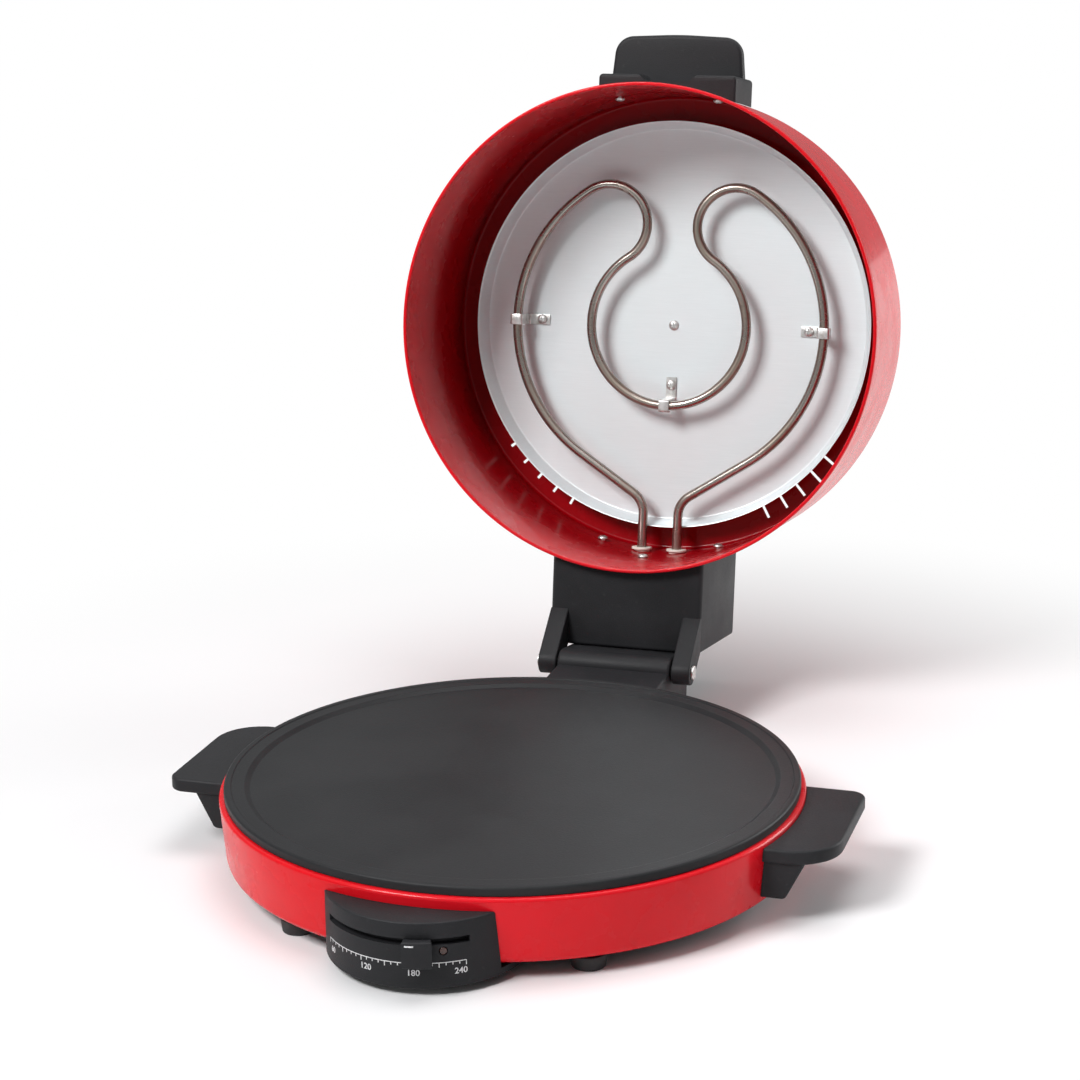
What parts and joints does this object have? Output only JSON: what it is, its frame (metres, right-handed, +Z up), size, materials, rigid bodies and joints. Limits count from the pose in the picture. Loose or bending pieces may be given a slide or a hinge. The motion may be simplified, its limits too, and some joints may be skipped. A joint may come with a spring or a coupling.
{
  "type": "electric roti maker",
  "caption": "Tabletop flatbread cooker: round heated plate in a shallow drum, deep lid with an upper heating element on a rear hinge, and a sliding temperature lever.",
  "frame": {"origin": "centre of the footprint, on the surface it stands on", "axes": "+Z up, +Y towards the hinge at the rear, +X to the right seen from the controls at the front, lid open"},
  "size_m": [0.389, 0.5828, 0.4263],
  "materials": {
    "red_enamel": "glossy red enamel on pressed steel",
    "black_plastic": "black heat-resistant plastic with a fine moulded grain",
    "non_stick": "cast aluminium under a dark grey non-stick coating",
    "bare_aluminium": "bright bare aluminium sheet",
    "element_steel": "heat-toned steel sheath",
    "zinc": "zinc-plated steel",
    "dark_steel": "dark coated steel",
    "brass": "turned brass",
    "ceramic": "unglazed white ceramic",
    "rubber": "black moulded rubber",
    "amber_lens": "clear amber lens",
    "clear_glass": "small neon lamp"
  },
  "bodies": {
    "base": {"base_shell": "red_enamel", "bottom_cover": "dark_steel", "cooking_plate": "non_stick", "heat_shield": "bare_aluminium", "centre_bolt": "zinc", "centre_spacer": "zinc", "lower_element": "element_steel", "lower_clip_left": "zinc", "lower_clip_right": "zinc", "lower_clip_screw_left": "zinc", "lower_clip_screw_right": "zinc", "control_housing": "black_plastic", "pilot_lens": "amber_lens", "pilot_lamp": "clear_glass", "thermostat": "ceramic", "left_handle": "black_plastic", "right_handle": "black_plastic", "left_handle_screw_front": "zinc", "left_handle_screw_rear": "zinc", "right_handle_screw_front": "zinc", "right_handle_screw_rear": "zinc", "foot_front_left": "rubber", "foot_front_right": "rubber", "foot_rear_right": "rubber", "foot_rear_left": "rubber", "foot_screw_front_left": "zinc", "foot_screw_front_right": "zinc", "foot_screw_rear_right": "zinc", "foot_screw_rear_left": "zinc", "hinge_bracket": "black_plastic", "hinge_bracket_screw_left": "zinc", "hinge_bracket_screw_right": "zinc", "hinge_pin": "zinc", "cord_gland": "black_plastic", "terminal_block": "ceramic", "thermal_fuse": "brass"},
    "lever": {"thermostat_spindle": "brass", "lever_arm": "dark_steel", "temperature_knob": "black_plastic"},
    "lid": {"lid_shell": "red_enamel", "lid_reflector": "bare_aluminium", "reflector_spacer": "zinc", "reflector_screw": "zinc", "upper_element": "element_steel", "upper_clip_left": "zinc", "upper_clip_right": "zinc", "upper_clip_middle": "zinc", "upper_clip_screw_left": "zinc", "upper_clip_screw_right": "zinc", "upper_clip_screw_middle": "zinc", "element_bush_left": "ceramic", "element_bush_right": "ceramic", "lid_handle": "black_plastic", "lid_handle_screw_left": "zinc", "lid_handle_screw_right": "zinc", "hinge_block": "black_plastic", "hinge_block_screw_left": "zinc", "hinge_block_screw_middle": "zinc", "hinge_block_screw_right": "zinc"}
  },
  "joints": [
    {"name": "lid_hinge", "type": "hinge", "parent": "base", "child": "lid", "pos_m": [0, 0.11316, 0.0434], "axis": [1, 0, 0], "range_deg": [0, 99.64]},
    {"name": "temperature_lever", "type": "hinge", "parent": "base", "child": "lever", "pos_m": [-0.004, -0.23184, 0.0469], "axis": [0, 0, 1], "range_deg": [-61, 26]}
  ]
}
